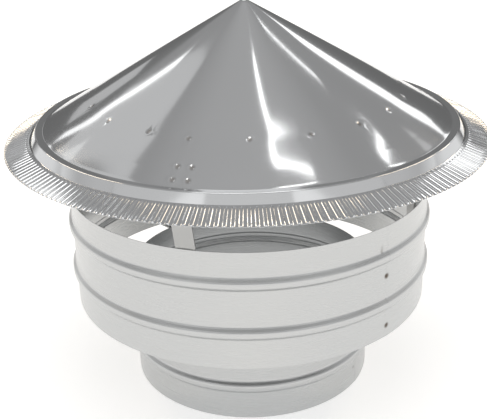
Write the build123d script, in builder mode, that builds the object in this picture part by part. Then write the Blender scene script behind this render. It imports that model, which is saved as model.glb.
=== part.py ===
from build123d import *

import os
from math import cos, pi, radians, sin, sqrt, tan

# Chimney cap of bright stainless sheet: a flue pipe, a wider wind ring held round its top,
# and a cone hood with a crimped brim, all carried by three bent straps.
# Millimetres, +Z up. The origin is the centre of the flue pipe's lower rim.

# Sheet and strip stock
sheet = 0.6
strap_gauge = 1.2
strap_width = 15.0
seam_clearance = 0.05

# Flue pipe and wind ring, two rolled shells with the same pair of beads
pipe_diameter = 200.0
pipe_length = 93.0
ring_diameter = 292.0
ring_height = 93.0
ring_lift = 75.0
bead_margin = 28.5
bead_pitch = 39.5
bead_width = 10.0
bead_crown = 4.4
bead_height = 3.0
bead_fillet = 1.6

# Hood: cone, ledge, steep band below the rim, and a plain flange under the brim
hood_gap = 40.0
rim_diameter = 335.4
rim_rise = 13.3
hood_height = 93.4
ledge_width = 5.6
ledge_rise = 0.4
rim_fillet = 1.4
band_spread = 4.4
flange_width = 5.0

# Crimped brim
brim_width = 20.0
brim_slope = 18.0
crimp_count = 228
crimp_depth = 1.2
rib_foot_share = 0.60
rib_crest_share = 0.44
rib_end = 1.8
rib_edge_depth = 0.3

# Inner cone welded under the hood
weld_inset = 43.2
weld_flange = 14.0
inner_slope = 24.0
inner_fillet = 3.0

# Straps
strap_count = 3
strap_angle = -18.0
strap_fillet = 2.5
strap_foot = 16.0
arm_setback = 1.5
tab_length = 22.0
tab_setback = 3.5

# Levels and radii that follow from the sizes above
pipe_radius = pipe_diameter / 2
ring_radius = ring_diameter / 2
rim_radius = rim_diameter / 2
ring_top = ring_lift + ring_height
brim_edge = ring_top + hood_gap
rim_top = brim_edge + rim_rise
apex = rim_top + hood_height
ledge_radius = rim_radius - ledge_width
ledge_level = rim_top - ledge_rise
hood_fall = (apex - ledge_level) / ledge_radius
brim_fall = tan(radians(brim_slope))
band_foot_radius = rim_radius + band_spread
brim_bore = band_foot_radius + rim_fillet / 2
brim_radius = brim_bore + brim_width
sheet_drop = sheet / cos(radians(brim_slope))


def hood_underside(radius):
    """Level of the hood's under surface at a radius."""
    return apex - hood_fall * radius - sheet * sqrt(1 + hood_fall**2)


def brim_floor(radius):
    """Level of the upper face of the brim between two crimps, at a radius."""
    return brim_edge + (brim_radius - radius) * brim_fall


def beaded_wall(radius, bottom, height):
    """Outer outline of a rolled shell from its lower to its upper edge, with two beads."""
    points = [(radius, bottom)]
    for centre in (bottom + bead_margin, bottom + bead_margin + bead_pitch):
        points += [
            (radius, centre - bead_width / 2),
            (radius + bead_height, centre - bead_crown / 2),
            (radius + bead_height, centre + bead_crown / 2),
            (radius, centre + bead_width / 2),
        ]
    points.append((radius, bottom + height))
    return points


def crimp_line(radius, drop, depth):
    """Closed line round the brim at a radius, lowered by drop, its ribs raised by depth."""
    points = []
    pitch = 2 * pi / crimp_count
    floor = brim_floor(radius) - drop
    crest_share = rib_foot_share - (rib_foot_share - rib_crest_share) * depth / crimp_depth
    for crimp in range(crimp_count):
        for across, rise in (
            (-rib_foot_share / 2, 0),
            (-crest_share / 2, depth),
            (crest_share / 2, depth),
            (rib_foot_share / 2, 0),
        ):
            turn = (crimp + across) * pitch
            points.append((radius * cos(turn), radius * sin(turn), floor + rise))
    with BuildLine() as line:
        Polyline(*points, close=True)
    return line.wire()


def radial_plane(angle):
    """Upright plane through the axis, turned from the front towards +X by an angle."""
    turn = radians(angle)
    outward = (sin(turn), -cos(turn), 0)
    return Plane(origin=(0, 0, 0), x_dir=outward, z_dir=(-cos(turn), -sin(turn), 0))


os.makedirs("parts", exist_ok=True)

# Flue pipe: the shell that fits the chimney
with BuildPart() as flue_pipe:
    with BuildSketch(Plane.XZ):
        with BuildLine():
            FilletPolyline(*beaded_wall(pipe_radius, 0, pipe_length), radius=bead_fillet)
            offset(amount=sheet, side=Side.LEFT)
        make_face()
    revolve(axis=Axis.Z)
flue_pipe.part.label = "flue_pipe"
export_step(flue_pipe.part, "parts/flue_pipe.step")

# Wind ring: the wider shell round the top of the pipe, open above and below
with BuildPart() as wind_ring:
    with BuildSketch(Plane.XZ):
        with BuildLine():
            FilletPolyline(*beaded_wall(ring_radius, ring_lift, ring_height), radius=bead_fillet)
            offset(amount=sheet, side=Side.LEFT)
        make_face()
    revolve(axis=Axis.Z)
wind_ring.part.label = "wind_ring"
export_step(wind_ring.part, "parts/wind_ring.step")

# Hood: one sheet from the apex to the plain flange that the brim lies on
flange_top = sheet_drop + seam_clearance
flange_end = band_foot_radius + flange_width
with BuildPart() as hood_cone:
    with BuildSketch(Plane.XZ):
        with BuildLine():
            FilletPolyline(
                (-rim_radius / 10, apex + hood_fall * rim_radius / 10),
                (ledge_radius, ledge_level),
                (rim_radius, rim_top),
                (band_foot_radius, brim_floor(band_foot_radius) - flange_top),
                (flange_end, brim_floor(flange_end) - flange_top),
                radius=rim_fillet,
            )
            offset(amount=sheet, side=Side.RIGHT)
        make_face()
        split(bisect_by=Plane.YZ)
    revolve(axis=Axis.Z)
hood_cone.part.label = "hood_cone"
export_step(hood_cone.part, "parts/hood_cone.step")

# Crimped brim: a fluted ring whose ribs slope down to its outer edge.
# It is ruled from its upper inner line out over the edge and back to its lower inner line.
rib_shoulder = brim_radius - rib_end
brim_lines = [
    crimp_line(brim_bore, 0, crimp_depth),
    crimp_line(rib_shoulder, 0, crimp_depth),
    crimp_line(brim_radius, 0, rib_edge_depth),
    crimp_line(brim_radius, sheet_drop, rib_edge_depth),
    crimp_line(rib_shoulder, sheet_drop, crimp_depth),
    crimp_line(brim_bore, sheet_drop, crimp_depth),
]
with BuildPart() as crimped_brim:
    add(Solid.make_loft(brim_lines + brim_lines[:1], ruled=True))
crimped_brim.part.label = "crimped_brim"
export_step(crimped_brim.part, "parts/crimped_brim.step", write_pcurves=False)

# Inner cone: point down under the hood, its flange spot-welded to the hood's underside
weld_radius = rim_radius - weld_inset
flange_outer = weld_radius + weld_flange / 2
flange_inner = weld_radius - weld_flange / 2
inner_fall = tan(radians(inner_slope))
inner_top = hood_underside(flange_inner) - seam_clearance
with BuildPart() as inner_cone:
    with BuildSketch(Plane.XZ):
        with BuildLine():
            FilletPolyline(
                (flange_outer, hood_underside(flange_outer) - seam_clearance),
                (flange_inner, inner_top),
                (-flange_inner / 10, inner_top - inner_fall * flange_inner * 1.1),
                radius=inner_fillet,
            )
            offset(amount=sheet, side=Side.LEFT)
        make_face()
        split(bisect_by=Plane.YZ)
    revolve(axis=Axis.Z)
inner_cone.part.label = "inner_cone"
export_step(inner_cone.part, "parts/inner_cone.step")

# Straps: a foot up the pipe, an arm out to the ring, up the ring's wall and out to the hood
half_width = strap_width / 2
pipe_seat = pipe_radius + seam_clearance
ring_seat = sqrt((ring_radius - sheet) ** 2 - half_width**2) - seam_clearance
tab_outer = ledge_radius - tab_setback
tab_inner = tab_outer - tab_length
arm_level = pipe_length - arm_setback - strap_gauge
foot_face = pipe_seat + strap_gauge


def tab_level(radius):
    """Level of the upper face of a strap's tab, its corners just under the hood."""
    return hood_underside(sqrt(radius**2 + half_width**2)) - seam_clearance


for number in range(strap_count):
    with BuildPart() as strap:
        with BuildSketch(radial_plane(strap_angle + 360 / strap_count * number)):
            with BuildLine():
                FilletPolyline(
                    (foot_face, arm_level - strap_foot),
                    (foot_face, arm_level),
                    (ring_seat, arm_level),
                    (ring_seat, ring_top),
                    (tab_outer, tab_level(tab_outer)),
                    (tab_inner, tab_level(tab_inner)),
                    radius=strap_fillet,
                )
                offset(amount=strap_gauge, side=Side.LEFT)
            make_face()
        extrude(amount=half_width, both=True)
    name = f"strap_{number + 1}"
    strap.part.label = name
    export_step(strap.part, f"parts/{name}.step")
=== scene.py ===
"""Chimney cap of stainless sheet: a flue pipe, a wind ring and a cone hood with a crimped brim."""
import logging
from dataclasses import dataclass
from enum import Enum
from math import atan2, ceil, cos, degrees, pi, radians, sin, sqrt, tan
from typing import Any, Callable, Sequence

import bmesh
import bpy
import numpy as np
from mathutils import Matrix, Vector


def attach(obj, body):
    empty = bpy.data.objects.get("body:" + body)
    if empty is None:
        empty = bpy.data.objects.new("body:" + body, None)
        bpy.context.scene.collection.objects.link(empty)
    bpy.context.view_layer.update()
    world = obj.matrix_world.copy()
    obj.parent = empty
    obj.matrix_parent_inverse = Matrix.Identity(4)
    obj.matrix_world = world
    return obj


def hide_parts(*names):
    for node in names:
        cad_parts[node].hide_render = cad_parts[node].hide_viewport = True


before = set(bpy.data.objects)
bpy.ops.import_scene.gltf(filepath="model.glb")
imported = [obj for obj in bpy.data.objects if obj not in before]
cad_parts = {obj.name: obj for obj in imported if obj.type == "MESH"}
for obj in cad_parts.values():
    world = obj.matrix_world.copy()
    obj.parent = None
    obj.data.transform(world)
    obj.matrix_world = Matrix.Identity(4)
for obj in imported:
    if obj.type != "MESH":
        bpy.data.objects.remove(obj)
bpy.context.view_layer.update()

MM = 0.001
# Thickness of the sheet and clearance between two sheets, in mm.
SHEET = 0.6
SEAM = 0.05
# Names of the weld colour and of the UV map, which is in metres.
WELD = "weld"
SHEET_UV = "sheet"
# Spacing of the mesh at a spot weld, in mm, and how many such steps lie to each side of it.
FINE_STEP = 0.5
FINE_STEPS = 6
# Shortest run of a section that is divided, in mm.
LONG_RUN = 2.0
# Edges sharper than this stay sharp, in degrees.
SHARP_ANGLE = 50.0
# Points closer than this are one point, in metres, and radii below this are on the axis, in mm.
SAME_POINT = 1e-7
AXIS_RADIUS = 1e-9
# Range that most of a noise pattern's values lie in.
NOISE_LOW, NOISE_HIGH = 0.3, 0.7
# Place that the soft boxes face, in metres.
HOOD_CENTRE = Vector((0.0, 0.0, 0.25))
log = logging.getLogger("chimney_cap")

Relief = Callable[[np.ndarray, np.ndarray, np.ndarray], np.ndarray]


class Side(Enum):
    """Side of a drawn line that a sheet's thickness lies on, looking along the line."""

    LEFT = 1.0
    RIGHT = -1.0


class Along(Enum):
    """Coordinate of a section, and the one that spot welds on it are placed by."""

    RADIUS = 0
    LEVEL = 1


@dataclass(frozen=True)
class Spot:
    """A spot weld: a dimple with a raised lip, a wide shallow pull of the sheet and a heat tint.

    Args:
        angle: turn from the front towards +X, in degrees.
        at: radius on the hood or level on a shell, in mm.
        depth: depth of its dimple, in mm.
        width: radius of its dimple, in mm.
        tint: strength of its heat tint, 0 to 1.
        lip_share: height of the lip, as a share of the depth.
        lip_place: distance of the lip, in widths.
        lip_sharpness: how narrow the lip is.
        pull_share: depth of the pull, as a share of the depth.
        pull_reach: reach of the pull, in widths.
        tint_reach: reach of the tint, in widths.
    """

    angle: float
    at: float
    depth: float = 0.25
    width: float = 1.5
    tint: float = 0.4
    lip_share: float = 0.3
    lip_place: float = 1.8
    lip_sharpness: float = 4.0
    pull_share: float = 0.35
    pull_reach: float = 5.0
    tint_reach: float = 1.1

    def away(
        self, along: Along, radius: np.ndarray, level: np.ndarray, angle: np.ndarray
    ) -> np.ndarray:
        """Distance from the weld, in its own widths.

        Args:
            along: coordinate that the weld is placed by.
            radius: radii of the surface points, in mm.
            level: levels of the points, in mm.
            angle: angles of the points, in radians.

        Returns:
            Distance of each point.
        """
        turn = (angle - radians(self.angle) + pi) % (2 * pi) - pi
        run = (radius, level)[along.value] - self.at
        return np.sqrt(run**2 + (turn * radius) ** 2) / self.width

    def dimple(self, far: np.ndarray) -> np.ndarray:
        """Depth of the dimple less its lip, in mm, by distance in widths."""
        lip = self.lip_share * np.exp(-self.lip_sharpness * (far - self.lip_place) ** 2)
        return self.depth * (np.exp(-(far**2)) - lip)

    def pull(self, far: np.ndarray) -> np.ndarray:
        """Depth of the pull, in mm, by distance in widths."""
        return self.pull_share * self.depth * np.exp(-((far / self.pull_reach) ** 2))

    def stain(self, far: np.ndarray) -> np.ndarray:
        """Strength of the heat tint, by distance in widths."""
        return self.tint * np.exp(-((far / self.tint_reach) ** 4))


@dataclass(frozen=True)
class Wave:
    """A slow unevenness round a sheet.

    Args:
        height: half of its height, in mm.
        lobes: rises in one turn.
        phase: its start, in radians.
        drift: turn along the sheet, in radians to each unit of the run.
    """

    height: float
    lobes: int
    phase: float
    drift: float = 0.0

    def rise(self, angle: np.ndarray, run: np.ndarray) -> np.ndarray:
        """Height at angles and places along the sheet, in mm."""
        return self.height * np.sin(self.lobes * angle + self.drift * run + self.phase)


def linear(code: str) -> tuple[float, float, float, float]:
    """Turns an sRGB hex colour into linear RGBA.

    Args:
        code: colour such as "#c0c0c0".

    Returns:
        Red, green, blue and alpha.
    """
    parts = [int(code[i : i + 2], 16) / 255 for i in (1, 3, 5)]
    red, green, blue = (
        p / 12.92 if p <= 0.04045 else ((p + 0.055) / 1.055) ** 2.4 for p in parts
    )
    return red, green, blue, 1.0


def blank_tree(owner: bpy.types.Material | bpy.types.World) -> bpy.types.NodeTree:
    """Gives a material or a world an empty node tree.

    Args:
        owner: the material or the world.

    Returns:
        The tree.
    """
    owner.use_nodes = True
    owner.node_tree.nodes.clear()
    return owner.node_tree


def add(
    tree: bpy.types.NodeTree, kind: str, inputs: dict[Any, Any], **settings: Any
) -> bpy.types.Node:
    """Adds one node, sets its properties and fills its inputs.

    Args:
        tree: node tree to add to.
        kind: node type.
        inputs: socket name or number to a value, or to an output socket to link from.
        settings: node properties.

    Returns:
        The node.
    """
    node = tree.nodes.new(kind)
    for name, value in settings.items():
        setattr(node, name, value)
    for name, value in inputs.items():
        if isinstance(value, bpy.types.NodeSocket):
            tree.links.new(value, node.inputs[name])
        else:
            node.inputs[name].default_value = value
    return node


@dataclass(frozen=True)
class Stainless:
    """A finish of stainless sheet or strip.

    Args:
        name: material name.
        colour: sRGB hex of the metal.
        tint: sRGB hex of the heat tint at a spot weld.
        roughness: middle roughness.
        spread: how far the roughness goes to each side of that.
        grain: width of a grain line, in mm.
        grain_length: length of a grain line, in mm.
        relief: height of the grain, in mm.
    """

    name: str
    colour: str
    tint: str
    roughness: float
    spread: float
    grain: float
    grain_length: float
    relief: float

    def material(self) -> bpy.types.Material:
        """Builds the material.

        Returns:
            The material, with its grain along U of the sheet's UV map.
        """
        made = bpy.data.materials.new(self.name)
        tree = blank_tree(made)
        place = add(tree, "ShaderNodeUVMap", {}, uv_map=SHEET_UV).outputs["UV"]
        pitch = (1 / (self.grain_length * MM), 1 / (self.grain * MM), 1.0)
        lines = add(tree, "ShaderNodeMapping", {"Vector": place, "Scale": pitch}).outputs[0]
        pattern = {"Vector": lines, "Scale": 1.0, "Detail": 2.0}
        grain = add(tree, "ShaderNodeTexNoise", pattern).outputs[0]
        band = {
            "Value": grain,
            "From Min": NOISE_LOW,
            "From Max": NOISE_HIGH,
            "To Min": self.roughness - self.spread,
            "To Max": self.roughness + self.spread,
        }
        rough = add(tree, "ShaderNodeMapRange", band).outputs[0]
        weld = add(tree, "ShaderNodeVertexColor", {}, layer_name=WELD).outputs["Color"]
        ramp = add(tree, "ShaderNodeValToRGB", {"Fac": weld})
        ramp.color_ramp.elements[0].color = linear(self.colour)
        ramp.color_ramp.elements[1].color = linear(self.tint)
        height = {"Strength": 1.0, "Distance": self.relief * MM, "Height": grain}
        bump = add(tree, "ShaderNodeBump", height).outputs[0]
        shade = {
            "Base Color": ramp.outputs[0],
            "Metallic": 1.0,
            "Roughness": rough,
            "Normal": bump,
        }
        metal = add(tree, "ShaderNodeBsdfPrincipled", shade).outputs[0]
        add(tree, "ShaderNodeOutputMaterial", {"Surface": metal})
        return made


@dataclass(frozen=True)
class MattPaint:
    """A matt paint that lights itself a little where the camera or a reflection sees it.

    Args:
        name: material name.
        colour: sRGB hex of the paint.
        glow: strength of its own light.
    """

    name: str
    colour: str
    glow: float

    def material(self) -> bpy.types.Material:
        """Builds the material.

        Returns:
            The material.
        """
        made = bpy.data.materials.new(self.name)
        tree = blank_tree(made)
        matt = add(tree, "ShaderNodeBsdfDiffuse", {"Color": linear(self.colour)}).outputs[0]
        path = add(tree, "ShaderNodeLightPath", {}).outputs
        seen = path["Is Camera Ray"]
        for ray in ("Is Glossy Ray", "Is Transmission Ray"):
            both = {0: seen, 1: path[ray]}
            seen = add(tree, "ShaderNodeMath", both, operation="ADD").outputs[0]
        glow = add(tree, "ShaderNodeMath", {0: seen, 1: self.glow}, operation="MULTIPLY")
        lit = add(tree, "ShaderNodeEmission", {"Strength": glow.outputs[0]}).outputs[0]
        shown = add(tree, "ShaderNodeAddShader", {0: matt, 1: lit}).outputs[0]
        add(tree, "ShaderNodeOutputMaterial", {"Surface": shown})
        return made


# Real grain is too fine to show, so on these metals it is drawn as coarse as it needs to be.
# Bright annealed sheet: a near mirror that shows the lamps as streaks, with a faint rolling grain.
BRIGHT = Stainless(
    name="stainless_bright_annealed",
    colour="#d0d1d2",
    tint="#7d6a56",
    roughness=0.09,
    spread=0.02,
    grain=0.3,
    grain_length=40.0,
    relief=0.0003,
)
# Satin mill sheet: soft wide highlights, drawn out across the grain that runs round a shell.
SATIN = Stainless(
    name="stainless_satin_mill",
    colour="#c3c4c4",
    tint="#5a5148",
    roughness=0.30,
    spread=0.05,
    grain=0.35,
    grain_length=60.0,
    relief=0.0015,
)
# Mill strip: duller than the sheet, so the straps look an even grey in the gap.
STRIP = Stainless(
    name="stainless_mill_strip",
    colour="#b0b0af",
    tint="#857868",
    roughness=0.38,
    spread=0.03,
    grain=0.4,
    grain_length=30.0,
    relief=0.002,
)
# Matt white paint: an even pale ground that takes a soft shadow.
FLOOR_PAINT = MattPaint(name="floor_matt_white", colour="#f6f6f5", glow=0.48)


def rounded(
    points: Sequence[tuple[float, float]], radius: float, step: float = 12.0
) -> np.ndarray:
    """Puts arcs in the corners of an open line.

    Args:
        points: corners as (radius, level), in mm.
        radius: radius of the arcs, in mm.
        step: turn between two points of an arc, in degrees.

    Returns:
        Points of the line, as rows.
    """
    corners = [np.array(p, float) for p in points]
    line = [corners[0]]
    for before, corner, after in zip(corners, corners[1:], corners[2:]):
        come = (corner - before) / np.linalg.norm(corner - before)
        go = (after - corner) / np.linalg.norm(after - corner)
        turn = atan2(come[0] * go[1] - come[1] * go[0], float(come @ go))
        x, y = -np.sign(turn) * np.array([-come[1], come[0]])
        centre = corner - come * radius * tan(abs(turn) / 2) - np.array([x, y]) * radius
        for part in np.linspace(0, turn, ceil(abs(degrees(turn)) / step) + 1):
            spun = (x * cos(part) - y * sin(part), x * sin(part) + y * cos(part))
            line.append(centre + radius * np.array(spun))
    line.append(corners[-1])
    return np.array(line)


def left_of(line: np.ndarray) -> np.ndarray:
    """Mitred left-hand normals of an open line.

    Args:
        line: points as rows.

    Returns:
        One vector a point, long enough that moving by it moves each run by 1.
    """
    run = np.diff(line, axis=0)
    run /= np.linalg.norm(run, axis=1)[:, None]
    left = np.column_stack([-run[:, 1], run[:, 0]])
    mean = np.vstack([left[:1], left]) + np.vstack([left, left[-1:]])
    return 2 * mean / (mean * mean).sum(axis=1)[:, None]


def stations(
    low: float, high: float, step: float, marks: Sequence[float], fine: float
) -> np.ndarray:
    """Places along a run: even ones, and close ones round each mark.

    Args:
        low: start of the run.
        high: end of the run.
        step: even spacing.
        marks: places that need close spacing to each side.
        fine: close spacing.

    Returns:
        Sorted places from low to high.
    """
    even = np.linspace(low, high, max(2, ceil((high - low) / step) + 1))
    close = [mark + fine * np.arange(-FINE_STEPS, FINE_STEPS + 1) for mark in marks]
    kept = [low]
    for place in np.sort(np.concatenate([even, *close])):
        if kept[-1] + fine / 2 < place < high - fine / 2:
            kept.append(float(place))
    return np.array(kept + [high])


def divided(
    line: np.ndarray, along: Along, step: float, marks: Sequence[float]
) -> np.ndarray:
    """Puts more points on the long runs of a line.

    Args:
        line: points as rows.
        along: coordinate that the marks are given in.
        step: largest spacing, in mm.
        marks: places that need close points.

    Returns:
        The line with more points.
    """
    rows = [line[:1]]
    for start, end in zip(line, line[1:]):
        reach = end[along.value] - start[along.value]
        if abs(reach) > LONG_RUN:
            offsets = [mark - start[along.value] for mark in marks]
            inside = [offset * np.sign(reach) for offset in offsets if 0 < offset / reach < 1]
            places = stations(0.0, abs(reach), step, inside, FINE_STEP)
            rows.append(start + (places[1:] / abs(reach))[:, None] * (end - start))
        else:
            rows.append(end[None])
    return np.vstack(rows)


def plain(radius: np.ndarray, level: np.ndarray, angle: np.ndarray) -> np.ndarray:
    """A sheet with no relief."""
    return np.zeros(np.broadcast(radius, angle).shape)


def turned(
    name: str,
    face: np.ndarray,
    back: np.ndarray,
    gauge: float,
    side: Side,
    angles: np.ndarray,
    relief: Relief = plain,
    spots: Sequence[Spot] = (),
    along: Along = Along.RADIUS,
) -> bpy.types.Object:
    """Turns a sheet about the upright axis.

    Args:
        name: object name.
        face: line of the face in view, as (radius, level) in mm.
        back: the same line with fewer points, for the other face.
        gauge: thickness, in mm.
        side: side of the line that the thickness is on.
        angles: rising angles through one turn, in radians.
        relief: height of the sheet above its line, in mm, by radius, level and angle.
        spots: spot welds on the face.
        along: coordinate that the spots are placed by.

    Returns:
        The object, in metres.
    """
    inner = back + left_of(back) * gauge * side.value
    on_axis = abs(face[0, 0]) < AXIS_RADIUS
    if on_axis:
        run = inner[1] - inner[0]
        inner[0] -= run * inner[0, 0] / run[0]
    outline = np.vstack([face, inner[::-1]])
    normal = -side.value * np.vstack([left_of(face), left_of(back)[::-1]])
    radius, level, spin = outline[:, :1], outline[:, 1:], angles[None, :]
    shown = len(face)
    lift = relief(radius, level, spin)
    tint = np.zeros(lift.shape)
    for spot in spots:
        far = spot.away(along, radius, level, spin)
        lift[:shown] -= spot.dimple(far)[:shown]
        lift -= spot.pull(far)
        tint[:shown] += spot.stain(far)[:shown]
    r, z = radius + lift * normal[:, :1], level + lift * normal[:, 1:]
    points = np.stack([r * np.sin(spin), -r * np.cos(spin), z], axis=-1) * MM
    travel = np.append(0, np.cumsum(np.hypot(*np.diff(outline, axis=0).T))) * MM
    girth = np.append(angles, angles[0] + 2 * pi) * outline[:, 0].max() * MM
    return gridded(name, points, np.clip(tint, 0, 1), girth, travel, not on_axis)


def gridded(
    name: str,
    points: np.ndarray,
    tint: np.ndarray,
    girth: np.ndarray,
    travel: np.ndarray,
    ring: bool,
) -> bpy.types.Object:
    """Makes a mesh of a grid that closes round its columns.

    Args:
        name: object name.
        points: rows by columns by three, in metres.
        tint: weld tint of each point.
        girth: U of each column and of the closing one, in metres.
        travel: V of each row, in metres.
        ring: True if the last row closes onto the first, False if both end on the axis.

    Returns:
        The object.
    """
    rows, columns = points.shape[:2]
    below = np.arange(rows if ring else rows - 1)[:, None]
    above = (below + 1) % rows
    here = np.arange(columns)[None, :]
    there = (here + 1) % columns
    low, high = below * columns, above * columns
    quads = np.stack([low + here, low + there, high + there, high + here], axis=-1)
    mesh = bpy.data.meshes.new(name)
    mesh.from_pydata(points.reshape(-1, 3).tolist(), [], quads.reshape(-1, 4).tolist())
    near, next_one = girth[here], girth[here + 1]
    u = np.stack([near, next_one, next_one, near], axis=-1)
    v = np.stack([travel[below], travel[below], travel[above], travel[above]], axis=-1)
    flat = np.stack(np.broadcast_arrays(u, v), axis=-1).astype(np.float32)
    mesh.uv_layers.new(name=SHEET_UV).data.foreach_set("uv", flat.ravel())
    layer = mesh.attributes.new(WELD, "FLOAT_COLOR", "POINT")
    colours = np.repeat(tint.reshape(-1, 1), 4, axis=1).astype(np.float32)
    layer.data.foreach_set("color", colours.ravel())
    body = bmesh.new()
    body.from_mesh(mesh)
    bmesh.ops.remove_doubles(body, verts=body.verts, dist=SAME_POINT)
    bmesh.ops.recalc_face_normals(body, faces=body.faces)
    body.to_mesh(mesh)
    body.free()
    mesh.shade_smooth()
    mesh.set_sharp_from_angle(angle=radians(SHARP_ANGLE))
    made = bpy.data.objects.new(name, mesh)
    bpy.context.scene.collection.objects.link(made)
    return made


def settle(
    piece: bpy.types.Object, finish: bpy.types.Material, node: str
) -> None:
    """Puts a piece in the frame in place of its CAD node.

    Args:
        piece: the piece.
        finish: its material.
        node: CAD node that it stands for.
    """
    piece.data.materials.append(finish)
    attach(piece, "root")
    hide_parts(node)
    log.info("%s: %d faces", piece.name, len(piece.data.polygons))


@dataclass
class Shell:
    """A rolled shell with two beads: the flue pipe or the wind ring. Sizes in mm.

    Args:
        name: object name.
        node: CAD node that it stands for.
        radius: outer radius of the wall.
        bottom: level of its lower edge.
        height: height of the wall.
        lap_angle: place of the lap, in degrees from the front towards +X.
        spots: spot welds on the wall.
        gauge: thickness of the sheet.
        bead_margin: height of the lower bead's middle above the edge.
        bead_pitch: distance between the two beads.
        bead_width: width of a bead at its foot.
        bead_crown: width of a bead at its crown.
        bead_height: how far a bead stands out.
        bead_fillet: radius of a bead's bends.
        lap: height of the lap.
        lap_run: distance in which the lap fades out.
        lap_edge: half of the turn that the step of the lap takes, in radians.
        waves: unevenness of the wall, its run being the level.
        columns: even columns of the mesh in one turn.
        row_step: largest spacing of its rows.
    """

    name: str
    node: str
    radius: float
    bottom: float
    height: float
    lap_angle: float
    spots: tuple[Spot, ...] = ()
    gauge: float = SHEET
    bead_margin: float = 28.5
    bead_pitch: float = 39.5
    bead_width: float = 10.0
    bead_crown: float = 4.4
    bead_height: float = 3.0
    bead_fillet: float = 2.8
    lap: float = 0.25
    lap_run: float = 14.0
    lap_edge: float = 0.004
    waves: tuple[Wave, ...] = (Wave(0.12, 3, 0.7), Wave(0.05, 7, 2.1, drift=0.03))
    columns: int = 192
    row_step: float = 8.0

    def wall(self) -> np.ndarray:
        """Draws the outer face of the wall from its lower to its upper edge.

        Returns:
            Points as (radius, level).
        """
        foot, crown = self.bead_width / 2, self.bead_crown / 2
        bead = ((-foot, 0.0), (-crown, self.bead_height), (crown, self.bead_height), (foot, 0.0))
        first = self.bottom + self.bead_margin
        points = [(self.radius, self.bottom)]
        for centre in (first, first + self.bead_pitch):
            points += [(self.radius + out, centre + across) for across, out in bead]
        points.append((self.radius, self.bottom + self.height))
        return rounded(points, self.bead_fillet)

    def relief(self, radius: np.ndarray, level: np.ndarray, angle: np.ndarray) -> np.ndarray:
        """Height of the lap, where the sheet's end lies over its start, and of the unevenness.

        Args:
            radius: radii of the surface points.
            level: levels of the points.
            angle: angles of the points, in radians.

        Returns:
            Height of each point above the drawn wall.
        """
        turn = (angle - radians(self.lap_angle)) % (2 * pi)
        lap = self.lap * np.exp(-((turn * self.radius / self.lap_run) ** 2))
        return lap + sum(wave.rise(angle, level) for wave in self.waves)

    def build(self) -> bpy.types.Object:
        """Turns the wall.

        Returns:
            The shell.
        """
        start = radians(self.lap_angle)
        marks = [(radians(spot.angle) - start) % (2 * pi) for spot in self.spots]
        marks += [self.lap_edge, 2 * pi - self.lap_edge]
        even = 2 * pi / self.columns
        angles = start + stations(0.0, 2 * pi, even, marks, FINE_STEP / self.radius)[:-1]
        back = self.wall()
        face = divided(back, Along.LEVEL, self.row_step, [spot.at for spot in self.spots])
        return turned(
            self.name, face, back, self.gauge, Side.LEFT, angles,
            self.relief, self.spots, Along.LEVEL,
        )

    def dress(self, finish: bpy.types.Material) -> None:
        """Puts the shell in the frame."""
        settle(self.build(), finish, self.node)


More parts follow.
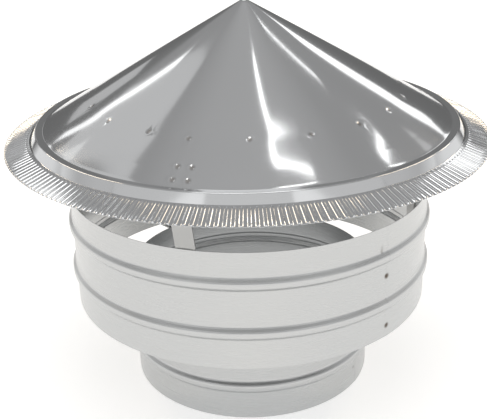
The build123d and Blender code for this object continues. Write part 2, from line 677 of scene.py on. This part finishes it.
@dataclass
class Brim:
    """Crimped ring round the hood, its ribs closed at the inner end and narrowing at the edge.

    Sizes in mm.

    Args:
        bore: inner radius.
        radius: outer radius.
        edge_level: level of the outer edge, between two ribs.
        slope: fall of the ring, in degrees.
        crimps: number of ribs.
        depth: height of a rib.
        foot_share: width of a rib at its foot, as a share of the pitch.
        crest_share: width of a rib at its crest, as a share of the pitch.
        rib_inner: radius at which a rib starts.
        rib_outer: radius at which a rib would end, just past the edge.
        rib_end: length of a rib's rounded end.
        edge_share: thickness at the outer edge, as a share of the sheet's.
        gauge: thickness of the sheet.
        seed: seed of the differences between ribs.
        height_spread: spread of the ribs' heights, as a share.
        width_spread: spread of their widths, as a share.
        shift_spread: spread of their places, in pitches.
        rib_places: columns of the mesh from a rib's middle outwards, in pitches.
        end_places: rows of the mesh along a rib's inner end, as shares of its length.
        run_rows: rows along the rest of a rib.
    """

    bore: float = 172.8
    radius: float = 192.8
    edge_level: float = 208.0
    slope: float = 18.0
    crimps: int = 228
    depth: float = 0.6
    foot_share: float = 0.66
    crest_share: float = 0.30
    rib_inner: float = 174.4
    rib_outer: float = 193.0
    rib_end: float = 1.3
    edge_share: float = 0.3
    gauge: float = SHEET
    seed: int = 7
    height_spread: float = 0.03
    width_spread: float = 0.03
    shift_spread: float = 0.01
    rib_places: tuple[float, ...] = (0.0, 0.11, 0.17, 0.22, 0.27, 0.32, 0.38)
    end_places: tuple[float, ...] = (0.0, 0.15, 0.3, 0.5, 0.75, 1.0)
    run_rows: int = 5

    def floor(self, radius: float | np.ndarray) -> float | np.ndarray:
        """Level of the upper face between two ribs, at a radius or at several."""
        return self.edge_level + (self.radius - radius) * tan(radians(self.slope))

    def drop(self) -> float:
        """Thickness of the sheet, measured upright."""
        return self.gauge / cos(radians(self.slope))

    def rise(self, radii: np.ndarray, across: np.ndarray) -> np.ndarray:
        """Height of the ribs above the plain ring.

        Args:
            radii: radii of the rows.
            across: places across one rib, as shares of the pitch from its middle.

        Returns:
            Height by row and by place round the whole ring.
        """
        rng = np.random.default_rng(self.seed)
        spreads = np.reshape([self.height_spread, self.width_spread, self.shift_spread], (3, 1, 1))
        tall, wide, shift = rng.standard_normal((3, self.crimps, 1)) * spreads
        nearest = np.minimum(radii - self.rib_inner, self.rib_outer - radii)
        end = np.clip(nearest / self.rib_end, 0, 1)
        foot = self.foot_share * np.sqrt(1 - (1 - end) ** 2)[:, None]
        far = (np.abs(across - shift) / (1 + wide) * 2).reshape(1, -1)
        ease = np.clip((foot - far) / (self.foot_share - self.crest_share), 0, 1)
        height = self.depth * (1 + np.repeat(tall, len(across), axis=1).reshape(1, -1))
        return height * ease**2 * (3 - 2 * ease)

    def rows(self) -> np.ndarray:
        """Places the rows of the upper face.

        Returns:
            Radii from the bore to the edge.
        """
        ends = self.rib_inner + self.rib_end * np.array(self.end_places)
        run = np.linspace(
            self.rib_inner + self.rib_end, self.rib_outer - self.rib_end, self.run_rows
        )[1:]
        edge = [(run[-1] + self.radius) / 2, self.radius]
        return np.concatenate([[self.bore], ends, run, edge])

    def build(self) -> bpy.types.Object:
        """Makes the ring, with half as many rows under it as on it.

        Returns:
            The ring.
        """
        half = np.array(self.rib_places)
        across = np.concatenate([-half[:0:-1], half, [0.5]])
        radii = self.rows()
        top = self.floor(radii)[:, None] + self.rise(radii, across)
        under = [len(radii) - 1, *range(len(radii) - 2, 0, -2), 0]
        thick = self.drop() * np.append(self.edge_share, np.ones(len(under) - 1))[:, None]
        level = np.vstack([top, top[under] - thick])
        reach = np.concatenate([radii, radii[under]])
        angles = 2 * pi / self.crimps * (np.arange(self.crimps)[:, None] + across).ravel()
        x, y = reach[:, None] * np.sin(angles), -reach[:, None] * np.cos(angles)
        points = np.stack([x, y, level], axis=-1) * MM
        travel = np.append(0, np.cumsum(np.abs(np.diff(reach)))) * MM
        girth = np.append(angles, angles[0] + 2 * pi) * self.radius * MM
        return gridded("crimped_ring", points, np.zeros(level.shape), girth, travel, True)

    def dress(self, finish: bpy.types.Material) -> None:
        """Puts the ring in the frame."""
        settle(self.build(), finish, "crimped_brim")


@dataclass
class Hood:
    """Cone with a ledge, a steep band and the plain flange under the brim. Sizes in mm.

    Args:
        apex: level of the point.
        ledge_radius: radius at which the cone meets the ledge.
        ledge_level: level of that bend.
        rim_radius: radius of the rim outside the ledge.
        rim_level: level of the rim.
        band_foot: radius of the foot of the steep band.
        flange_end: outer radius of the flange.
        rim_fillet: radius of the bends.
        arc_step: turn between two points of a bend, in degrees.
        gauge: thickness of the sheet.
        weld_radius: radius of the circle of welds that hold the inner cone.
        weld_angles: places of those welds, in degrees from the front towards +X.
        weld_wander: how far they lie off the circle.
        wander_rate: rate at which that changes with the angle.
        tab_radii: radii of the welds that hold a strap's tab.
        tab_spread: turn from a tab's middle to its welds, in degrees.
        tab_depth: depth of those welds' dimples.
        tab_width: radius of those dimples.
        strap_angles: places of the tabs, in degrees from the front towards +X.
        waves: unevenness of the cone, its run being the share of the ledge's radius.
        rim_fade: how fast the unevenness fades out at the ledge.
        apex_fade: how fast it fades out at the point.
        kink_depth: depth of the pull along the circle of welds.
        kink_reach: reach of that pull to each side.
        kink_wave: change of that pull round the cone, as a share.
        columns: even columns of the mesh in one turn.
        row_step: largest spacing of its rows.
    """

    apex: float = 314.7
    ledge_radius: float = 162.1
    ledge_level: float = 220.9
    rim_radius: float = 167.7
    rim_level: float = 221.3
    band_foot: float = 172.1
    flange_end: float = 177.1
    rim_fillet: float = 1.4
    arc_step: float = 10.0
    gauge: float = SHEET
    weld_radius: float = 124.5
    weld_angles: tuple[float, ...] = (
        -172.0, -151.0, -132.0, -112.0, -94.0, -72.0, -53.5, -33.7, -18.8,
        0.7, 20.6, 39.4, 57.0, 74.5, 95.0, 114.0, 133.0, 153.0,
    )
    weld_wander: float = 0.8
    wander_rate: float = 9.0
    tab_radii: tuple[float, float] = (146.5, 156.5)
    tab_spread: float = 2.0
    tab_depth: float = 0.3
    tab_width: float = 1.6
    strap_angles: tuple[float, ...] = (-16.8, 103.2, 223.2)
    waves: tuple[Wave, ...] = (Wave(0.16, 5, 0.9), Wave(0.10, 9, 0.4, drift=2.2))
    rim_fade: float = 12.0
    apex_fade: float = 6.0
    kink_depth: float = 0.25
    kink_reach: float = 16.0
    kink_wave: Wave = Wave(0.5, 4, 1.0)
    columns: int = 288
    row_step: float = 5.0

    def line(self, brim: Brim) -> np.ndarray:
        """Draws the upper face from the apex to the end of the flange that the brim lies on.

        Args:
            brim: the ring that lies on the flange.

        Returns:
            Points as (radius, level).
        """
        foot, end = (
            (radius, brim.floor(radius) - brim.drop() - SEAM)
            for radius in (self.band_foot, self.flange_end)
        )
        cone = [(0.0, self.apex), (self.ledge_radius, self.ledge_level)]
        rim = (self.rim_radius, self.rim_level)
        return rounded([*cone, rim, foot, end], self.rim_fillet, self.arc_step)

    def spots(self) -> list[Spot]:
        """Places the welds of the inner cone, and four for each strap's tab.

        Returns:
            The welds.
        """
        ring = [
            Spot(angle, self.weld_radius + self.weld_wander * sin(self.wander_rate * angle))
            for angle in self.weld_angles
        ]
        tabs = [
            Spot(angle + turn, radius, self.tab_depth, self.tab_width)
            for angle in self.strap_angles
            for turn in (-self.tab_spread, self.tab_spread)
            for radius in self.tab_radii
        ]
        return ring + tabs

    def relief(self, radius: np.ndarray, level: np.ndarray, angle: np.ndarray) -> np.ndarray:
        """Unevenness that rolling and welding leave in the cone.

        Args:
            radius: radii of the surface points.
            level: levels of the points.
            angle: angles of the points, in radians.

        Returns:
            Height of each point above the drawn cone.
        """
        share = np.clip(radius / self.ledge_radius, 0, 1)
        rim = np.clip((1 - share) * self.rim_fade, 0, 1)
        inside = share * rim * np.clip(share * self.apex_fade, 0, 1)
        wave = sum(wave.rise(angle, share) for wave in self.waves)
        pull = np.exp(-(((radius - self.weld_radius) / self.kink_reach) ** 2))
        kink = -self.kink_depth * pull * (1 + self.kink_wave.rise(angle, share))
        return inside * (wave + kink)

    def build(self, brim: Brim) -> bpy.types.Object:
        """Turns the hood.

        Args:
            brim: the ring that lies on the flange.

        Returns:
            The hood.
        """
        back = self.line(brim)
        spots = self.spots()
        circles = sorted({self.weld_radius, *self.tab_radii})
        face = divided(back, Along.RADIUS, self.row_step, circles)
        marks = [(radians(spot.angle) + pi) % (2 * pi) for spot in spots]
        even = 2 * pi / self.columns
        angles = stations(0.0, 2 * pi, even, marks, FINE_STEP / self.weld_radius)[:-1] - pi
        return turned(
            "hood_sheet", face, back, self.gauge, Side.RIGHT, angles, self.relief, spots
        )

    def dress(self, finish: bpy.types.Material, brim: Brim) -> None:
        """Puts the hood in the frame."""
        settle(self.build(brim), finish, "hood_cone")


@dataclass
class InnerCone:
    """Cone with its point down, welded under the hood. Sizes in mm.

    Args:
        apex: level of the hood's point.
        hood_fall: fall of the hood to each unit of radius.
        flange: outer and inner radius of the flange.
        slope: slope of the cone, in degrees.
        fillet: radius of the bend.
        gauge: thickness of the sheet.
        columns: columns of the mesh in one turn.
        row_step: largest spacing of its rows.
    """

    apex: float = 314.7
    hood_fall: float = 0.5787
    flange: tuple[float, float] = (131.5, 117.5)
    slope: float = 24.0
    fillet: float = 3.0
    gauge: float = SHEET
    columns: int = 128
    row_step: float = 10.0

    def build(self) -> bpy.types.Object:
        """Turns the cone from its point up to its flange.

        Returns:
            The cone.
        """
        under = self.apex - self.gauge * sqrt(1 + self.hood_fall**2) - SEAM
        outer, inner = ((radius, under - self.hood_fall * radius) for radius in self.flange)
        point = (0.0, inner[1] - tan(radians(self.slope)) * inner[0])
        back = rounded([point, inner, outer], self.fillet)
        face = divided(back, Along.RADIUS, self.row_step, [])
        angles = np.arange(self.columns) * 2 * pi / self.columns
        return turned("inner_cone_sheet", face, back, self.gauge, Side.RIGHT, angles)

    def dress(self, finish: bpy.types.Material) -> None:
        """Puts the cone in the frame."""
        settle(self.build(), finish, "inner_cone")


@dataclass
class Straps:
    """Bent strips, shown as their CAD nodes.

    Args:
        count: number of strips.
    """

    count: int = 3

    def dress(self, finish: bpy.types.Material) -> None:
        """Gives each strip its finish.

        Args:
            finish: material of the strip.
        """
        for number in range(1, self.count + 1):
            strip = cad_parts[f"strap_{number}"]
            strip.data.materials.clear()
            strip.data.materials.append(finish)
            log.info("%s: CAD node in %s", strip.name, finish.name)


@dataclass(frozen=True)
class Softbox:
    """A soft lamp that faces the hood.

    Args:
        name: lamp name.
        start: middle of one short side, in metres.
        end: middle of the other short side, in metres.
        width: width, in metres.
        radiance: brightness, where 1 is white.
        colour: sRGB hex of the light.
    """

    name: str
    start: tuple[float, float, float]
    end: tuple[float, float, float]
    width: float
    radiance: float
    colour: str = "#ffffff"

    def build(self) -> None:
        """Adds the lamp."""
        start, end = Vector(self.start), Vector(self.end)
        long, centre = end - start, (start + end) / 2
        along = long.normalized()
        back = centre - HOOD_CENTRE
        back = (back - along * back.dot(along)).normalized()
        lamp = bpy.data.lights.new(self.name, "AREA")
        lamp.shape = "RECTANGLE"
        lamp.size, lamp.size_y = self.width, long.length
        lamp.energy = self.radiance * pi * self.width * long.length
        lamp.color = linear(self.colour)[:3]
        box = bpy.data.objects.new(self.name, lamp)
        turn = Matrix((along.cross(back), along, back)).transposed().to_4x4()
        box.matrix_world = Matrix.Translation(centre) @ turn
        bpy.context.scene.collection.objects.link(box)
        log.info("%s: softbox", self.name)


# Light of the lamps that show in the ribs of the brim: a warm white.
WARM = "#ffecd2"


@dataclass
class Studio:
    """Pale floor, soft boxes, and a room whose light changes with the height above the horizon.

    Args:
        floor_radius: radius of the floor, in metres.
        floor_sides: sides of its outline.
        floor_paint: its finish.
        back_room: stops of the room's brightness behind the cap, by height from -1 to 1.
        front_room: the same for the rest of the room.
        back_start: Y of the directions at which the back of the room starts.
        back_full: Y of the directions past which it is alone.
        boxes: soft boxes.
    """

    floor_radius: float = 3.2
    floor_sides: int = 96
    floor_paint: MattPaint = FLOOR_PAINT
    back_room: tuple[tuple[float, float], ...] = (
        (-1.0, 0.9), (-0.12, 1.2), (-0.07, 0.16), (0.2, 0.2), (0.36, 0.25),
        (0.44, 0.38), (0.84, 0.42), (0.94, 0.52), (1.0, 0.54),
    )
    front_room: tuple[tuple[float, float], ...] = (
        (-1.0, 0.9), (-0.12, 1.0), (0.2, 1.0), (0.36, 0.3),
        (0.44, 0.38), (0.84, 0.42), (0.94, 0.52), (1.0, 0.54),
    )
    back_start: float = 0.7
    back_full: float = 0.8
    boxes: tuple[Softbox, ...] = (
        Softbox("front_flat", (-2.8, -2.3, 1.9), (2.8, -2.3, 1.9), 1.0, 0.4),
        Softbox("left_flat", (-2.0, 2.0, 1.4), (-2.9, -0.7, 1.4), 1.0, 0.3),
        Softbox("right_flat", (2.0, 2.0, 1.4), (2.9, -0.7, 1.4), 1.0, 0.3),
        Softbox("right_bank", (1.8, 2.48, 1.19), (1.29, 2.38, 1.95), 0.34, 1.6),
        Softbox("left_bank", (-2.05, 2.75, 1.4), (-1.6, 2.2, 2.5), 0.12, 1.4),
        Softbox("right_ribs_1", (1.69, 1.72, 1.22), (1.77, 1.49, 1.43), 0.18, 6.5, WARM),
        Softbox("right_ribs_2", (1.8, 1.36, 1.55), (1.66, 0.15, 2.24), 0.34, 3.9, WARM),
        Softbox("left_ribs_1", (-1.69, 1.72, 1.22), (-1.77, 1.49, 1.43), 0.18, 6.5, WARM),
        Softbox("left_ribs_2", (-1.8, 1.36, 1.55), (-1.66, 0.15, 2.24), 0.34, 3.9, WARM),
        Softbox("right_corner", (2.65, -0.7, 2.0), (1.3, -2.5, 2.0), 1.2, 0.35),
        Softbox("left_corner", (-2.65, -0.7, 2.0), (-1.3, -2.5, 2.0), 1.2, 0.35),
        Softbox("top_flat", (-0.8, -0.55, 2.6), (0.8, -0.55, 2.6), 0.7, 2.4),
        Softbox("back_panel", (0.0, 2.4, 1.5), (0.0, 2.0, 2.4), 0.6, 0.8),
        Softbox("left_panel", (-1.26, 1.02, 2.65), (-1.69, 2.04, 1.43), 0.56, 0.32),
        Softbox("left_low", (-1.48, 2.46, 1.13), (-1.16, 2.73, 0.67), 0.32, 0.4),
        Softbox("top_strip_1", (0.18, 0.55, 2.3), (0.30, 0.28, 2.3), 0.05, 3.0),
        Softbox("top_strip_2", (0.30, 0.28, 2.3), (0.66, 0.34, 2.3), 0.05, 3.0),
        Softbox("right_strip_1", (0.91, 1.3, 2.84), (1.38, 1.49, 2.46), 0.035, 3.0),
        Softbox("right_strip_2", (1.55, 1.1, 2.3), (1.7, 1.5, 2.3), 0.05, 3.0),
    )

    def build(self) -> None:
        """Makes the floor, the room and the soft boxes."""
        self._floor()
        self._room()
        for box in self.boxes:
            box.build()

    def _floor(self) -> None:
        """Adds the floor."""
        bpy.ops.mesh.primitive_circle_add(
            vertices=self.floor_sides, radius=self.floor_radius, fill_type="NGON"
        )
        floor = bpy.context.object
        floor.name = "floor"
        floor.data.materials.append(self.floor_paint.material())

    def _room(self) -> None:
        """Sets the light of the room."""
        world = bpy.data.worlds.new("studio")
        bpy.context.scene.world = world
        tree = blank_tree(world)
        place = add(tree, "ShaderNodeTexCoord", {}).outputs["Generated"]
        way = add(tree, "ShaderNodeSeparateXYZ", {"Vector": place}).outputs
        span = {
            "Value": way["Z"],
            "From Min": -1.0,
            "From Max": 1.0,
            "To Min": 0.0,
            "To Max": 1.0,
        }
        rise = add(tree, "ShaderNodeMapRange", span).outputs[0]
        front, back = (
            self._profile(tree, rise, room) for room in (self.front_room, self.back_room)
        )
        edge = {"Value": way["Y"], "From Min": self.back_start, "From Max": self.back_full}
        behind = add(tree, "ShaderNodeMapRange", edge).outputs[0]
        rooms = {"Fac": behind, "Color1": front, "Color2": back}
        both = add(tree, "ShaderNodeMixRGB", rooms).outputs[0]
        light = add(tree, "ShaderNodeBackground", {"Color": both, "Strength": 1.0}).outputs[0]
        add(tree, "ShaderNodeOutputWorld", {"Surface": light})

    def _profile(
        self,
        tree: bpy.types.NodeTree,
        rise: bpy.types.NodeSocket,
        room: Sequence[tuple[float, float]],
    ) -> bpy.types.NodeSocket:
        """Adds a ramp of brightness from straight down to straight up.

        Args:
            tree: node tree of the world.
            rise: height of the direction, from 0 for down to 1 for up.
            room: stops as (height from -1 to 1, brightness).

        Returns:
            The ramp's colour.
        """
        ramp = add(tree, "ShaderNodeValToRGB", {"Fac": rise})
        stops = ramp.color_ramp.elements
        while len(stops) < len(room):
            stops.new(1.0)
        for stop, (height, level) in zip(stops, room):
            stop.position = (height + 1) / 2
            stop.color = (level, level, level, 1.0)
        return ramp.outputs[0]


@dataclass
class Viewpoint:
    """Camera of the photograph, as solved from its rims and beads.

    Args:
        place: place of the camera, in metres.
        yaw: turn to the right, in degrees.
        pitch: tilt upwards, in degrees.
        roll: turn about the line of sight, in degrees.
        lens: focal length, in mm.
        sensor: width of the sensor, in mm.
    """

    place: tuple[float, float, float] = (0.0, -0.7321, 0.4498)
    yaw: float = -0.368
    pitch: float = -23.053
    roll: float = -1.534
    lens: float = 70.05
    sensor: float = 36.0

    def build(self) -> None:
        """Adds the camera and takes it into use."""
        yaw, pitch, roll = radians(self.yaw), radians(self.pitch), radians(self.roll)
        ahead = Vector((sin(yaw) * cos(pitch), cos(yaw) * cos(pitch), sin(pitch)))
        level = Vector((cos(yaw), -sin(yaw), 0.0))
        over = level.cross(ahead)
        right = level * cos(roll) + over * sin(roll)
        up = over * cos(roll) - level * sin(roll)
        lens = bpy.data.cameras.new("camera")
        lens.lens, lens.sensor_width = self.lens, self.sensor
        camera = bpy.data.objects.new("camera", lens)
        turn = Matrix((right, up, -ahead)).transposed().to_4x4()
        camera.matrix_world = Matrix.Translation(self.place) @ turn
        bpy.context.scene.collection.objects.link(camera)
        bpy.context.scene.camera = camera


def main() -> None:
    """Builds the scene."""
    logging.basicConfig(level=logging.INFO, format="%(name)s: %(message)s")
    bright, satin, strip = (finish.material() for finish in (BRIGHT, SATIN, STRIP))
    pipe = Shell(
        name="flue_pipe_sheet",
        node="flue_pipe",
        radius=100.0,
        bottom=0.0,
        height=93.0,
        lap_angle=59.0,
        spots=(Spot(angle=57.0, at=16.0, depth=0.3, width=1.3),),
    )
    ring = Shell(
        name="wind_ring_sheet",
        node="wind_ring",
        radius=146.0,
        bottom=75.0,
        height=93.0,
        lap_angle=43.5,
        spots=(
            Spot(angle=43.6, at=127.0, depth=0.35, width=2.0, tint=1.0),
            Spot(angle=44.3, at=84.5, depth=0.35, width=2.0, tint=1.0),
            Spot(angle=41.0, at=149.0, depth=0.2, width=1.2),
        ),
    )
    brim = Brim()
    pipe.dress(satin)
    ring.dress(satin)
    brim.dress(bright)
    Hood().dress(bright, brim)
    InnerCone().dress(bright)
    Straps().dress(strip)
    Studio().build()
    Viewpoint().build()
    bpy.context.scene.view_settings.view_transform = "Standard"


if __name__ == "__main__":
    main()
